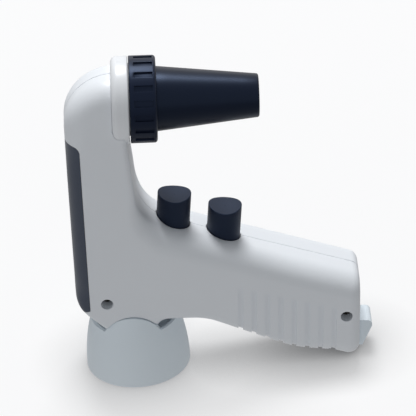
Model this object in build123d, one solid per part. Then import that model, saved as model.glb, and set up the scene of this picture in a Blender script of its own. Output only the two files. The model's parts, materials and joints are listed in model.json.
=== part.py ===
from build123d import *
import os
from math import atan2, ceil, cos, degrees, hypot, pi, radians, sin, tan

# Electric pipette controller resting in its cradle. Millimetres, +Z up.
# The row's origin is the centre of the cradle's base. The controller is drawn in its own frame first:
# u runs along the nose towards the pipette, v is up, y = 0 is the parting plane of the housing,
# and u = 0 is the rear face of the union nut on the nose axis. placed() then lays it in the cradle.

# Rest posture
NOSE_DROOP = 2.6            # degrees that the nose points below level at rest
NUT_OFFSET = 5.2            # rear face of the union nut in front of the cradle's axis

# Housing outline, side view
HEAD_RISE = 13.0            # top of the head above the nose axis
BACK_REACH = 27.7           # back of the arm behind the nut's rear face, at the nose axis
BACK_LEAN = 1.5             # degrees
ELBOW_RADIUS = 22.0
ARM_FRONT = -0.8            # front of the arm where it leaves the ring
ARM_FLARE = 6.0             # degrees
ARM_BLEND_RADIUS = 22.0     # inside curve between arm and grip
NECK_DEPTH = 10.5           # underside of the head inside the ring
GRIP_TOP_START = -54.4      # height of the grip's top line where it would cross u = 0
GRIP_TOP_SLOPE = 18.0       # degrees
GRIP_END = 97.0             # end face of the grip
GRIP_END_DEPTH = 43.2       # height of the end face
GRIP_UNDER_SLOPE = 17.6     # degrees
BELLY_SLOPE = 25.0          # degrees, steeper part of the underside behind the foot
BELLY_START = 30.0          # u where the belly turns down
BELLY_RISE = 10.8           # belly's highest line above the foot
FOOT_DEPTH = 113.5          # underside of the foot below the nose axis
FOOT_REAR = -6.6            # rear end of the foot's flat
FOOT_FRONT = 4.6            # front end of the foot's flat
REAR_CHAMFER = 47.5         # degrees
FOOT_FLANK = 57.0           # degrees
REAR_CORNER_RADIUS = 12.0
FOOT_RADIUS = 10.4
FLANK_RADIUS = 5.0
BELLY_RADIUS = 25.0
UNDER_RADIUS = 60.0

# Housing section
HEAD_HALF_WIDTH = 14.4      # at the nose axis
WAIST_HALF_WIDTH = 16.9     # near the top of the grip
WAIST_DEPTH = 66.0          # below the nose axis
BASE_HALF_WIDTH = 13.8      # at the grip's lower end corner
EDGE_RADIUS = 10.0          # along both flanks, where the lists below give nothing crisper
END_RADIUS = 4.5
WALL = 2.4

# Crisper edges, as (distance along the outline, radius)
BASE_EDGE = [(45, 9.6), (70, 6.0), (125, 6.0), (137, 1.6), (144, 1.6), (154, 4.0), (240, 4.0), (262, 9.6)]
ARM_EDGE = [(84, 9.6), (94, 8.5), (112, 3.0), (118, 2.5), (140, 2.5)]
EDGE_STEP = 9.0             # between the sections of such an edge, on straight runs
EDGE_TURN = 7.0             # degrees between them on curves
EDGE_DEPTH = 9.8            # reach of a section from the corner
EDGE_SKIN = 1.0             # thickness of a section at its ends
EDGE_INSET = 0.02           # step under the housing's faces
EDGE_FADE = 8.4             # radius above which the step grows
EDGE_FADED_INSET = 0.16     # and what it grows to

# Grip grooves
GROOVE_COUNT = 8
GROOVE_FIRST = 45.2
GROOVE_PITCH = 5.76
GROOVE_WIDTH = 2.1
GROOVE_DEPTH = 0.6
GROOVE_TOP = -86.4          # upper end of the first groove
GROOVE_SLOPE = 16.7         # degrees, line of the upper ends

# Back inlay
PANEL_THICKNESS = 1.4
PANEL_TOP = -14.5
PANEL_REACH = 5.9           # from the back towards the front on each side
PANEL_LEAN = 1.4            # degrees
PANEL_BOTTOM = -95.5
PANEL_CORNER = 3.0
PANEL_GAP = 0.15

# Housing screws
SCREW_PLACES = [(-12.1, -92.2), (90.9, -103.3)]
SCREW_SHANK_RADIUS = 1.25
SCREW_HEAD_RADIUS = 2.4
SCREW_HEAD_HEIGHT = 1.9
SCREW_SEAT = 8.5            # head seat, from the parting plane
SCREW_REACH = 8.0           # shank past the parting plane
SCREW_DRIVE_WIDTH = 0.7
SCREW_DRIVE_DEPTH = 1.1
COUNTERBORE_RADIUS = 2.65
SCREW_CLEARANCE = 0.3
BOSS_WALL = 1.8

# Mounting ring
RING_RADIUS = 18.4
RING_LENGTH = 7.2
RING_REAR_ROUND = 2.6
RING_FRONT_ROUND = 0.4
RING_WEB = 2.2
RING_GAP = 0.1
RING_PORT_RADIUS = 3.0
RING_SHANK_RADIUS = 9.0
RING_SHANK_LENGTH = 5.0
SPIGOT_RADIUS = 15.2
SPIGOT_LENGTH = 7.4
SPIGOT_WALL = 1.5

# Union nut
NUT_START = 0.35
NUT_LENGTH = 11.35
NUT_CLEARANCE = 0.3
NUT_FRONT_WALL = 2.5
NUT_ROUND = 1.4
RIB_COUNT = 18
RIB_RECESS_DEPTH = 0.8
RIB_RECESS_SHARE = 0.4
RIB_PHASE = 6.0             # degrees from the top to the first recess
RIB_START = 2.1             # plain band behind the ribs
RIB_END = 0.8               # plain band in front of them
THREAD_LEAD = 4.0           # travel of the nut and the cone in one turn

# Nose cone
CONE_BASE_RADIUS = 13.7
CONE_TIP_RADIUS = 9.12
CONE_TIP = 54.6
CONE_WALL = 2.0
CONE_END_WALL = 2.6
CONE_MOUTH_RADIUS = 5.6
CONE_TIP_ROUND = 0.8
FLANGE_THICKNESS = 0.9
FLANGE_GAP = 0.3
BODY_GAP = 0.3              # running gap between pieces that move apart

# Nose contents
GASKET_THICKNESS = 0.6
HOLDER_START = 16.0
HOLDER_CLEARANCE = 0.05
PIPETTE_BORE_RADIUS = 3.8
PIPETTE_BORE_LENGTH = 30.0
NOZZLE_RADIUS = 3.0
NOZZLE_CLEARANCE = 0.06
NOZZLE_BORE_RADIUS = 1.3
NOZZLE_LENGTH = 21.5
FILTER_RADIUS = 13.2
FILTER_THICKNESS = 5.2
FILTER_TAIL_LENGTH = 9.0

# Triggers
TRIGGER_RADIUS = 7.2
TRIGGER_LEAN = 3.8          # degrees, forward at the top
TRIGGER_TOPS = {"aspirate": (18.2, -47.6), "dispense": (39.7, -54.3)}
TRIGGER_TRAVEL = 4.5
TRIGGER_DISH = 1.2
TRIGGER_RIM_ROUND = 0.5
TRIGGER_GAP = 0.35
TRIGGER_LENGTH = 20.0
TRIGGER_SKIN = 2.4
TRIGGER_WALL = 1.5
TRIGGER_FLANGE = 1.3
TRIGGER_FLANGE_HEIGHT = 1.6
GUIDE_THICKNESS = 1.8
GUIDE_LENGTH = 18.0
GUIDE_SIDE_GAP = 0.25
PLUNGER_RADIUS = 2.0
PLUNGER_CLEARANCE = 0.05
PLUNGER_START = 4.0
PLUNGER_LENGTH = 30.5
PLUNGER_BOSS_WALL = 1.2
PLUNGER_BOSS_LENGTH = 8.0
SPRING_RADIUS = 4.45
SPRING_WIRE = 0.35
SPRING_PITCH = 3.2
VALVE_START = 26.0
VALVE_HEIGHT = 9.0
VALVE_LENGTH = 15.0
VALVE_WIDTH = 17.0
SWITCH_LENGTH = 8.0
SWITCH_HEIGHT = 4.6

# Control board, along the grip
BOARD_CENTRE = (25.0, -88.8)
BOARD_LENGTH = 34.0
BOARD_HEIGHT = 14.0
BOARD_THICKNESS = 1.6
BOARD_FACE = 9.6            # y of the face that carries the switches
BOARD_POST_RADIUS = 1.8

# Pump in the arm
PUMP_AXIS = -14.2
MOTOR_RADIUS = 8.8
MOTOR_TOP = -57.0
MOTOR_LENGTH = 27.0
MOTOR_BORE = 6.0
SHAFT_RADIUS = 1.0
SHAFT_CLEARANCE = 0.05
ECCENTRIC_RADIUS = 4.5
ECCENTRIC_THICKNESS = 3.0
CRANK_OFFSET = 1.5
CRANK_LENGTH = 3.4
SHAFT_RISE = 2.6
BRACKET_THICKNESS = 2.0
BRACKET_LENGTH = 9.6
POST_RADIUS = 1.6
POST_PLACE = 10.6
DIAPHRAGM_RADIUS = 7.6
DIAPHRAGM_THICKNESS = 1.4
PUMP_RADIUS = 8.5
PUMP_HEIGHT = 12.0
EAR_THICKNESS = 3.0
EAR_WIDTH = 6.0
NIPPLE_RADIUS = 1.3
NIPPLE_PLACE = 4.0
NIPPLE_LENGTH = 4.0
NIPPLE_BORE = 0.6
TUBE_WALL = 0.7
HOSE_PLACE = (7.0, 8.6)     # run past the pump, in front of its axis and to its side

# Battery in the grip
CELL_RADIUS = 8.3
CELL_LENGTH = 34.5
CELL_CENTRE = (66.0, -96.3)
CELL_SLOPE = 17.5           # degrees
CELL_GAP = 0.2
CRADLE_WALL = 1.6
CRADLE_LUG = 8.0
CONTACT_THICKNESS = 0.5
CONTACT_SIZE = 9.0
CONTACT_REACH = 1.6

# Charging socket and its cover
SOCKET_RADIUS = 4.2
SOCKET_LENGTH = 8.5
SOCKET_BORE_RADIUS = 3.2
SOCKET_BORE_LENGTH = 7.0
SOCKET_PIN_RADIUS = 0.8
SOCKET_DROP = 32.2          # below the top of the end face
COVER_WIDTH = 12.0
COVER_TOP = 26.2            # below the top of the end face
COVER_HEIGHT = 12.8
COVER_TOP_REACH = 7.0
COVER_FOOT_REACH = 1.6
COVER_ROUND = 2.4
COVER_PLUG_RADIUS = 2.8
COVER_PLUG_LENGTH = 4.0

# Cradle
CRADLE_BASE_RADIUS = 22.6
CRADLE_DOME_RADIUS = 88.0
CRADLE_RIM = 24.4
CRADLE_CHEEK = 31.8
CRADLE_CHEEK_RADIUS = 13.3
CRADLE_CHEEK_SHIFT = -1.2
CRADLE_CHEEK_FACE = 13.6    # inner face of a cheek, from the parting plane
CRADLE_SHELL = 1.4
CRADLE_SKIRT = 2.4
CRADLE_SEAT_THICKNESS = 2.4
CRADLE_FOOT_GAP = 0.4       # around the housing's foot
PAD_THICKNESS = 1.6
PAD_CLEARANCE = 0.05


def crossing(p, p_angle, q, q_angle):
    """Point where the line through p at p_angle degrees meets the line through q at q_angle."""
    px, pv = cos(radians(p_angle)), sin(radians(p_angle))
    qx, qv = cos(radians(q_angle)), sin(radians(q_angle))
    along = ((q[0] - p[0]) * qv - (q[1] - p[1]) * qx) / (px * qv - pv * qx)
    return (p[0] + along * px, p[1] + along * pv)


def grip_top(u):
    """Height of the grip's top line at u."""
    return GRIP_TOP_START - u * tan(radians(GRIP_TOP_SLOPE))


def end_corner():
    """Sharp lower corner of the end face."""
    return (GRIP_END, grip_top(GRIP_END) - GRIP_END_DEPTH)


def back_line(v):
    """u of the back at height v."""
    return -BACK_REACH - v * tan(radians(BACK_LEAN))


def housing_corners():
    """Corners of the side outline as (u, v, radius), from the head's front round the back."""
    belly_top = FOOT_DEPTH - BELLY_RISE
    arm_low = (ARM_FRONT, -RING_RADIUS)
    rear = crossing((back_line(0), 0), 90 + BACK_LEAN, (FOOT_REAR, -FOOT_DEPTH), 180 - REAR_CHAMFER)
    flank = crossing((FOOT_FRONT, -FOOT_DEPTH), FOOT_FLANK, (0, -belly_top), 0)
    belly = (BELLY_START, -belly_top)
    under = crossing(belly, -BELLY_SLOPE, end_corner(), -GRIP_UNDER_SLOPE)
    inner = crossing(arm_low, ARM_FLARE - 90, (0, GRIP_TOP_START), -GRIP_TOP_SLOPE)
    neck = (ARM_FRONT - (RING_RADIUS - NECK_DEPTH) * tan(radians(ARM_FLARE)), -NECK_DEPTH)
    return [
        (SPIGOT_LENGTH, HEAD_RISE, 0),
        (back_line(HEAD_RISE), HEAD_RISE, ELBOW_RADIUS),
        (rear[0], rear[1], REAR_CORNER_RADIUS),
        (FOOT_REAR, -FOOT_DEPTH, FOOT_RADIUS),
        (FOOT_FRONT, -FOOT_DEPTH, FOOT_RADIUS),
        (flank[0], flank[1], FLANK_RADIUS),
        (belly[0], belly[1], BELLY_RADIUS),
        (under[0], under[1], UNDER_RADIUS),
        (*end_corner(), 0),
        (GRIP_END, grip_top(GRIP_END), 0),
        (inner[0], inner[1], ARM_BLEND_RADIUS),
        (*neck, WALL),
        (SPIGOT_LENGTH, -NECK_DEPTH, 0),
    ]


def inset_corners(corners, inset):
    """The outline's corners set in by a distance; the list runs anticlockwise seen from -Y."""
    shifted = []
    for index, (u, v, radius) in enumerate(corners):
        before = corners[index - 1]
        after = corners[(index + 1) % len(corners)]
        arrive = atan2(v - before[1], u - before[0])
        leave = atan2(after[1] - v, after[0] - u)
        first = (u - inset * sin(arrive), v + inset * cos(arrive))
        second = (u - inset * sin(leave), v + inset * cos(leave))
        corner = crossing(first, degrees(arrive), second, degrees(leave))
        turn = sin(leave - arrive)
        if radius:
            radius = radius - inset if turn > 0 else radius + inset
        shifted.append((corner[0], corner[1], radius))
    return shifted


def side_face(corners):
    """Face in the side plane from (u, v, radius) corners."""
    points = [(u, v) for u, v, _ in corners]
    radii = [radius for _, _, radius in corners]
    return make_face(Plane.XZ * FilletPolyline(*points, radius=radii, close=True))


def flank_circle():
    """Radius and centre (y, v) of the arc that one flank follows in the front view."""
    head = (HEAD_HALF_WIDTH, 0)
    waist = (WAIST_HALF_WIDTH, -WAIST_DEPTH)
    base = (BASE_HALF_WIDTH, end_corner()[1])
    upper = degrees(atan2(head[1] - waist[1], head[0] - waist[0])) + 90
    lower = degrees(atan2(base[1] - waist[1], base[0] - waist[0])) + 90
    upper_middle = ((head[0] + waist[0]) / 2, (head[1] + waist[1]) / 2)
    lower_middle = ((base[0] + waist[0]) / 2, (base[1] + waist[1]) / 2)
    centre = crossing(upper_middle, upper, lower_middle, lower)
    return hypot(waist[0] - centre[0], waist[1] - centre[1]), centre[0], centre[1]


def housing_block(inset):
    """The housing's sharp-edged envelope, set in by a distance."""
    outline = side_face(inset_corners(housing_corners(), inset))
    block = extrude(outline, amount=2 * WAIST_HALF_WIDTH, both=True)
    radius, centre_y, centre_v = flank_circle()
    for side in (-1, 1):
        block &= Pos(0, side * centre_y, centre_v) * Rot(0, 90, 0) * Cylinder(radius - inset, 4 * GRIP_END)
    return block


def side_edges(body, inset):
    """Long edges along both flanks of the envelope."""
    side = [edge for edge in body.edges() if abs(edge.center().Y) > HEAD_HALF_WIDTH / 2]
    side = [edge for edge in side if edge.center().X < GRIP_END - inset - 0.01]
    return [edge for edge in side if abs(edge.center().X - SPIGOT_LENGTH + inset) > 0.01]


def housing_body(inset):
    """The housing's solid envelope with its rounded flanks, set in by a distance."""
    body = housing_block(inset)
    return fillet(side_edges(body, inset), EDGE_RADIUS - inset)


def outline_stations(corners):
    """Places along an open outline as (distance, u, v, direction), closer together on its curves."""
    places = []
    u, v, _ = corners[0]
    travelled = 0
    for index in range(1, len(corners)):
        corner_u, corner_v, radius = corners[index]
        arrive = atan2(corner_v - v, corner_u - u)
        turn = 0
        if index < len(corners) - 1:
            after = corners[index + 1]
            turn = (atan2(after[1] - corner_v, after[0] - corner_u) - arrive + pi) % (2 * pi) - pi
        run = hypot(corner_u - u, corner_v - v) - radius * tan(abs(turn) / 2)
        steps = max(1, ceil(run / EDGE_STEP))
        for step in range(steps):
            along = run * step / steps
            places.append((travelled + along, u + along * cos(arrive), v + along * sin(arrive), arrive))
        travelled += run
        u += run * cos(arrive)
        v += run * sin(arrive)
        swing = radius if turn > 0 else -radius
        centre = (u - swing * sin(arrive), v + swing * cos(arrive))
        steps = ceil(degrees(abs(turn)) / EDGE_TURN) if radius else 0
        for step in range(steps):
            angle = arrive + turn * step / steps
            along = travelled + radius * abs(turn) * step / steps
            places.append((along, centre[0] + swing * sin(angle), centre[1] - swing * cos(angle), angle))
        travelled += radius * abs(turn)
        u = centre[0] + swing * sin(arrive + turn)
        v = centre[1] - swing * cos(arrive + turn)
    return places


def flank_width(v, inset):
    """Half width of the housing at height v, set in by a distance."""
    radius, centre_y, centre_v = flank_circle()
    return centre_y + ((radius - inset)**2 - (v - centre_v)**2)**0.5


def eased(table, distance):
    """Value of a (distance, value) list at a distance, eased between its entries."""
    for (start, first), (end, second) in zip(table, table[1:]):
        if distance <= end:
            share = max(0, (distance - start) / (end - start))
            return first + (second - first) * share**2 * (3 - 2 * share)
    return table[-1][1]


def edge_section(place, radius, side, sink):
    """Section across a long edge: the corner that a crisper edge adds, sunk by a depth."""
    _, u, v, angle = place
    inward = (-sin(angle), cos(angle))
    plane = Plane(origin=(u, 0, v), x_dir=(inward[0], 0, inward[1]), z_dir=(cos(angle), 0, sin(angle)))
    facing = side * (1 if plane.y_dir.Y > 0 else -1)
    width = flank_width(v, 0)
    slant = (flank_width(v + EDGE_DEPTH * inward[1], 0) - width) / EDGE_DEPTH

    def from_flank(depth, inset):
        return (depth, facing * (width + slant * depth - inset))

    fade = max(0, (radius - EDGE_FADE) / (EDGE_DEPTH - EDGE_FADE))
    inset = sink + EDGE_INSET + EDGE_FADED_INSET * fade
    skin = sink + EDGE_SKIN
    middle = EDGE_RADIUS - (EDGE_RADIUS - skin) / 2**0.5
    front = (inset, facing * (width - EDGE_DEPTH))
    near_front = (skin, facing * (width - EDGE_DEPTH))
    near_flank = from_flank(EDGE_DEPTH, skin)
    flank = from_flank(EDGE_DEPTH, inset)
    outline = FilletPolyline(flank, from_flank(inset, inset), front, radius=radius - sink)
    outline += Line(front, near_front)
    outline += ThreePointArc(near_front, from_flank(middle, middle), near_flank)
    outline += Line(near_flank, flank)
    return plane * make_face(outline)


def edge_strips(corners, table, sink):
    """Lofted strips that make a long edge crisper on both flanks, sunk by a depth."""
    strips = []
    for side in (-1, 1):
        sections = []
        for place in outline_stations(corners):
            if table[0][0] <= place[0] <= table[-1][0]:
                sections.append(edge_section(place, eased(table, place[0]), side, sink))
        strips.append(loft(sections))
    return strips


def housing_envelope():
    """The housing's outer shape, crisp along the base and the arm's front."""
    body = housing_body(0)
    body = fillet(body.faces().sort_by(Axis.X)[-1].edges(), END_RADIUS)
    corners = housing_corners()
    for strip in edge_strips(corners[:9], BASE_EDGE, 0) + edge_strips(corners[9:], ARM_EDGE, 0):
        body += strip
    return body


def groove_core():
    """The housing's envelope at the depth of the grip's grooves."""
    body = housing_body(GROOVE_DEPTH)
    for strip in edge_strips(housing_corners()[:9], BASE_EDGE, GROOVE_DEPTH):
        body += strip
    return body


def x_tube(outer, inner, start, end):
    """Tube along the nose axis."""
    tube = Pos((start + end) / 2, 0, 0) * Rot(0, 90, 0) * Cylinder(outer, end - start)
    if inner:
        tube -= Pos((start + end) / 2, 0, 0) * Rot(0, 90, 0) * Cylinder(inner, end - start + 2)
    return tube


def y_rod(radius, u, v, start, end):
    """Cylinder across the housing at (u, v) from y = start to y = end."""
    return Pos(u, (start + end) / 2, v) * Rot(90, 0, 0) * Cylinder(radius, abs(end - start))


def turned(points):
    """Solid turned about the nose axis from (u, radius) points."""
    return revolve(make_face(Plane.XZ * Polyline(*points, close=True)), Axis.X, 360)


def groove_cutters():
    """Upright slots through both flanks of the grip, still to be limited to the skin's depth."""
    slots = Part()
    for index in range(GROOVE_COUNT):
        u = GROOVE_FIRST + index * GROOVE_PITCH
        top = GROOVE_TOP - (u - GROOVE_FIRST) * tan(radians(GROOVE_SLOPE))
        height = top - end_corner()[1] + WALL
        slots += Pos(u, 0, top - height / 2) * Box(GROOVE_WIDTH, 3 * WAIST_HALF_WIDTH, height)
    return slots


def panel_prism(grow):
    """Side-view prism that bounds the back inlay."""
    top = PANEL_TOP + grow
    low = PANEL_BOTTOM - grow
    front_top = back_line(PANEL_TOP) + PANEL_REACH + grow
    front_low = front_top + (PANEL_TOP - PANEL_BOTTOM) * tan(radians(PANEL_LEAN))
    behind = -BACK_REACH - 2 * WALL
    corners = [
        (behind, top + PANEL_CORNER / 2, 0),
        (front_top, top, PANEL_CORNER),
        (front_low, low, 0),
        (behind, low - PANEL_CORNER, 0),
    ]
    return extrude(side_face(corners), amount=2 * WAIST_HALF_WIDTH, both=True)


def trigger_frame(name):
    """Location of a trigger: its top at the origin, +Z out of the housing along its axis."""
    u, v = TRIGGER_TOPS[name]
    return Pos(u, 0, v) * Rot(0, TRIGGER_LEAN, 0)


def trigger_hole(name):
    """Hole that a trigger passes through."""
    depth = TRIGGER_LENGTH
    return trigger_frame(name) * Pos(0, 0, -depth / 2) * Cylinder(TRIGGER_RADIUS + TRIGGER_GAP, depth)


def half_width(v):
    """Inner half width of the housing at height v."""
    return flank_width(v, WALL)


def ring_pocket():
    """Room for the mounting ring, with the ring's own rear round."""
    pocket = x_tube(RING_RADIUS + RING_GAP, 0, -RING_LENGTH - RING_GAP, SPIGOT_LENGTH + RING_LENGTH)
    return fillet(pocket.edges().sort_by(Axis.X)[0], RING_REAR_ROUND)


def cheek_prism(grow):
    """Prism across the foot that the cradle's cheeks fill, in the row's frame."""
    radius = CRADLE_CHEEK_RADIUS + grow
    centre = CRADLE_CHEEK - CRADLE_CHEEK_RADIUS
    prism = Pos(CRADLE_CHEEK_SHIFT, 0, centre) * Rot(90, 0, 0) * Cylinder(radius, 4 * CRADLE_BASE_RADIUS)
    return prism + Pos(CRADLE_CHEEK_SHIFT, 0, centre / 2) * Box(2 * radius, 4 * CRADLE_BASE_RADIUS, centre)


def cheek_recesses(grow, face):
    """The cheeks' prism outside y = face on both sides, in the controller's frame."""
    prism = cheek_prism(grow)
    prism -= Box(4 * CRADLE_BASE_RADIUS, 2 * face, 4 * CRADLE_CHEEK)
    return Rot(0, -NOSE_DROOP, 0) * Pos(-NUT_OFFSET, 0, -rest_height()) * prism


def make_shells():
    """Both housing halves: walls, screw bosses, board posts, openings, grooves and recesses."""
    outer = housing_envelope()
    cavity = housing_body(WALL)
    boss = Part()
    for u, v in SCREW_PLACES:
        boss += y_rod(COUNTERBORE_RADIUS + BOSS_WALL, u, v, -WAIST_HALF_WIDTH, WAIST_HALF_WIDTH)
    shell = outer - cavity
    shell += boss & cavity
    shell += board_posts() & cavity
    shell -= groove_cutters() - groove_core()
    skin = outer - housing_body(PANEL_THICKNESS)
    shell -= skin & panel_prism(PANEL_GAP)
    recess_face = CRADLE_CHEEK_FACE - CRADLE_FOOT_GAP
    shell += cheek_recesses(CRADLE_FOOT_GAP + WALL, recess_face - WALL) & cavity
    shell -= cheek_recesses(CRADLE_FOOT_GAP, recess_face)
    shell -= ring_pocket()
    for name in TRIGGER_TOPS:
        shell -= trigger_hole(name)
    for u, v in SCREW_PLACES:
        shell -= y_rod(COUNTERBORE_RADIUS, u, v, -WAIST_HALF_WIDTH - WALL, -SCREW_SEAT)
        shell -= y_rod(SCREW_SHANK_RADIUS + SCREW_CLEARANCE, u, v, -SCREW_SEAT, 0)
        shell -= y_rod(SCREW_SHANK_RADIUS, u, v, 0, SCREW_REACH + BOSS_WALL)
    socket_v = grip_top(GRIP_END) - SOCKET_DROP
    shell -= Pos(0, 0, socket_v) * x_tube(SOCKET_BORE_RADIUS, 0, GRIP_END - 2 * WALL, GRIP_END + WALL)
    span = 4 * GRIP_END
    left = shell & Pos(0, -span / 2, 0) * Box(span, span, span)
    right = shell & Pos(0, span / 2, 0) * Box(span, span, span)
    panel = skin & panel_prism(0)
    return left, right, panel


def board_posts():
    """Posts on the right half that the control board is fixed to."""
    posts = Part()
    for side in (-1, 1):
        u = BOARD_CENTRE[0] + side * BOARD_LENGTH * 0.36
        v = BOARD_CENTRE[1] - side * BOARD_LENGTH * 0.36 * tan(radians(CELL_SLOPE))
        posts += y_rod(BOARD_POST_RADIUS, u, v, BOARD_FACE + BOARD_THICKNESS, WAIST_HALF_WIDTH)
    return posts


def make_screws():
    """Cross-recess housing screws, one solid each."""
    screws = []
    for u, v in SCREW_PLACES:
        head_top = -SCREW_SEAT - SCREW_HEAD_HEIGHT
        screw = y_rod(SCREW_HEAD_RADIUS, u, v, head_top, -SCREW_SEAT)
        screw += y_rod(SCREW_SHANK_RADIUS, u, v, -SCREW_SEAT, SCREW_REACH)
        drive = Box(2.6 * SCREW_SHANK_RADIUS, SCREW_DRIVE_DEPTH, SCREW_DRIVE_WIDTH)
        drive += Box(SCREW_DRIVE_WIDTH, SCREW_DRIVE_DEPTH, 2.6 * SCREW_SHANK_RADIUS)
        screw -= Pos(u, head_top + SCREW_DRIVE_DEPTH / 2, v) * drive
        screws.append(screw)
    return Compound(children=[screw.solid() for screw in screws])


def outer_rims(shape):
    """Circles of the ring's outer radius, from the rear to the front."""
    circles = shape.edges().filter_by(GeomType.CIRCLE)
    rims = [edge for edge in circles if abs(edge.radius - RING_RADIUS) < 0.01]
    return sorted(rims, key=lambda edge: edge.center().X)


def make_ring():
    """White ring that closes the head and carries the nose's spigot."""
    pocket = SPIGOT_RADIUS - SPIGOT_WALL
    web = -RING_LENGTH + RING_WEB
    ring = turned([
        (-RING_LENGTH - RING_SHANK_LENGTH, RING_PORT_RADIUS),
        (-RING_LENGTH - RING_SHANK_LENGTH, RING_SHANK_RADIUS),
        (-RING_LENGTH, RING_SHANK_RADIUS),
        (-RING_LENGTH, RING_RADIUS),
        (0, RING_RADIUS),
        (0, SPIGOT_RADIUS),
        (SPIGOT_LENGTH, SPIGOT_RADIUS),
        (SPIGOT_LENGTH, pocket),
        (web, pocket),
        (web, RING_PORT_RADIUS),
    ])
    ring = fillet(outer_rims(ring)[0], RING_REAR_ROUND)
    return fillet(outer_rims(ring)[-1], RING_FRONT_ROUND)


def flange_start():
    """Rear face of the cone's flange."""
    return SPIGOT_LENGTH + GASKET_THICKNESS + FLANGE_GAP


def make_nut():
    """Ribbed union nut."""
    end = NUT_START + NUT_LENGTH
    bore = SPIGOT_RADIUS + NUT_CLEARANCE
    hole = CONE_BASE_RADIUS + NUT_CLEARANCE
    nut = turned([
        (NUT_START, bore),
        (NUT_START, RING_RADIUS),
        (end, RING_RADIUS),
        (end, hole),
        (end - NUT_FRONT_WALL, hole),
        (end - NUT_FRONT_WALL, bore),
    ])
    nut = fillet(outer_rims(nut)[-1], NUT_ROUND)
    share = 360 / RIB_COUNT * RIB_RECESS_SHARE
    ring = x_tube(RING_RADIUS + 1, RING_RADIUS - RIB_RECESS_DEPTH, NUT_START + RIB_START, end - RIB_END)
    reach = 2 * RING_RADIUS
    side = reach * tan(radians(share / 2))
    wedge = make_face(Plane.YZ * Polyline((0, 0), (side, reach), (-side, reach), close=True))
    wedge = extrude(wedge, amount=2 * NUT_LENGTH, both=True)
    recess = ring & wedge
    for index in range(RIB_COUNT):
        nut -= Rot(RIB_PHASE + index * 360 / RIB_COUNT, 0, 0) * recess
    return nut


def cone_radius(u):
    """Outer radius of the nose cone at u."""
    base = NUT_START + NUT_LENGTH
    return CONE_BASE_RADIUS + (CONE_TIP_RADIUS - CONE_BASE_RADIUS) * (u - base) / (CONE_TIP - base)


def make_cone():
    """Hollow nose cone with the flange that the nut clamps."""
    base = NUT_START + NUT_LENGTH
    start = flange_start()
    flange = start + FLANGE_THICKNESS
    inner_end = CONE_TIP - CONE_END_WALL
    cone = turned([
        (start, CONE_BASE_RADIUS - CONE_WALL),
        (start, SPIGOT_RADIUS - NUT_CLEARANCE / 2),
        (flange, SPIGOT_RADIUS - NUT_CLEARANCE / 2),
        (flange, CONE_BASE_RADIUS),
        (base, CONE_BASE_RADIUS),
        (CONE_TIP, CONE_TIP_RADIUS),
        (CONE_TIP, CONE_MOUTH_RADIUS),
        (inner_end, CONE_MOUTH_RADIUS),
        (inner_end, cone_radius(inner_end) - CONE_WALL),
        (base, CONE_BASE_RADIUS - CONE_WALL),
    ])
    rims = [edge for edge in cone.edges().filter_by(GeomType.CIRCLE) if edge.center().X > CONE_TIP - 0.01]
    return fillet(rims, CONE_TIP_ROUND)


def make_holder():
    """Silicone holder that grips the pipette."""
    end = CONE_TIP - CONE_END_WALL - HOLDER_CLEARANCE
    slack = CONE_WALL + HOLDER_CLEARANCE
    bore_start = end - PIPETTE_BORE_LENGTH
    return turned([
        (HOLDER_START, NOZZLE_RADIUS + NOZZLE_CLEARANCE),
        (HOLDER_START, cone_radius(HOLDER_START) - slack),
        (end, cone_radius(end) - slack),
        (end, PIPETTE_BORE_RADIUS),
        (bore_start, PIPETTE_BORE_RADIUS),
        (bore_start, NOZZLE_RADIUS + NOZZLE_CLEARANCE),
    ])


def make_filter():
    """Membrane filter capsule in the ring's pocket."""
    rear = -RING_LENGTH + RING_WEB + BODY_GAP / 2
    front = rear + FILTER_THICKNESS
    return turned([
        (rear - FILTER_TAIL_LENGTH, NIPPLE_BORE),
        (rear - FILTER_TAIL_LENGTH, NIPPLE_RADIUS),
        (rear, NIPPLE_RADIUS),
        (rear, FILTER_RADIUS),
        (front, FILTER_RADIUS),
        (front, NOZZLE_RADIUS),
        (front + NOZZLE_LENGTH, NOZZLE_RADIUS),
        (front + NOZZLE_LENGTH, NOZZLE_BORE_RADIUS),
        (front, NOZZLE_BORE_RADIUS),
        (front, NIPPLE_BORE),
    ])


def make_gasket():
    """Flat gasket on the spigot's end."""
    front = SPIGOT_LENGTH + GASKET_THICKNESS
    return x_tube(SPIGOT_RADIUS, SPIGOT_RADIUS - SPIGOT_WALL, SPIGOT_LENGTH, front)


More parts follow.
